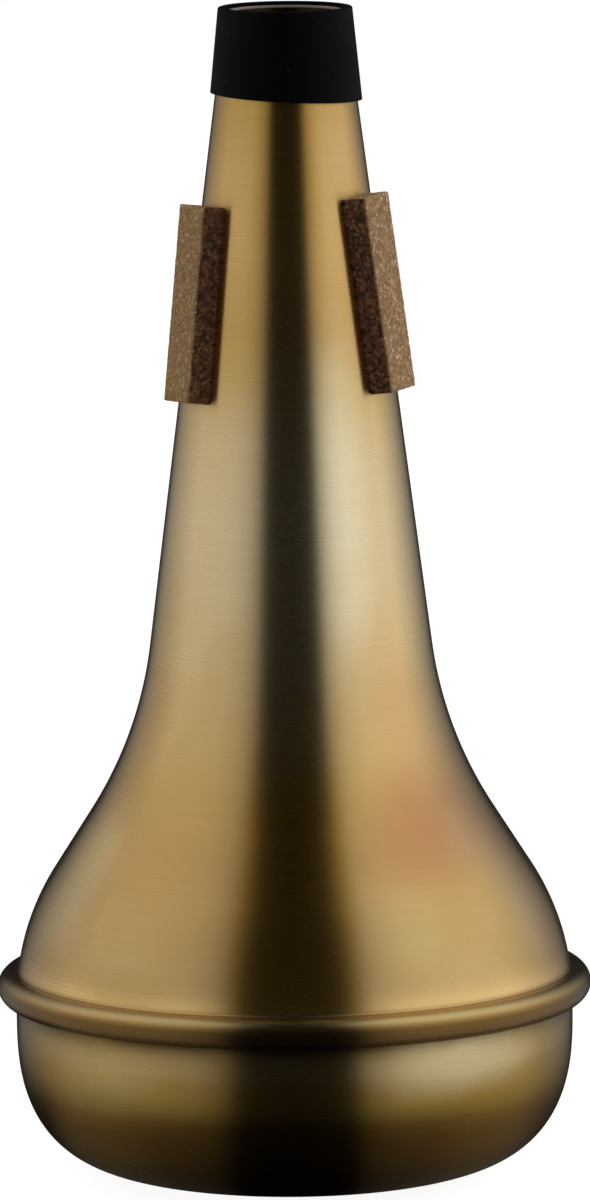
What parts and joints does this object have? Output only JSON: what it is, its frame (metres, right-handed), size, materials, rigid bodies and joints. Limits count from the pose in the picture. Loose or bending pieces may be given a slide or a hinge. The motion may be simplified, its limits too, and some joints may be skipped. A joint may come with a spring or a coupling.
{
  "type": "flugelhorn straight mute",
  "caption": "Flared spun brass straight mute with a rolled bead, a domed cup bottom, cork strips on the neck and a rubber sleeve on the open small end.",
  "frame": {"origin": "centre of the flat bottom that the mute stands on", "axes": "+Z along the mute's axis towards the small open end, the front of the mute (midway between two corks) faces -Y"},
  "size_m": [0.1052, 0.1052, 0.2061],
  "materials": {
    "body_brass": "satin brushed, antiqued",
    "cup_brass": "satin brushed, antiqued darker",
    "black_rubber": "matt",
    "cork": "cut granulated cork"
  },
  "bodies": {
    "root": {"body_shell": "body_brass", "bottom_cup": "cup_brass", "end_sleeve": "black_rubber", "cork_left": "cork", "cork_right": "cork", "cork_rear": "cork"}
  },
  "joints": []
}
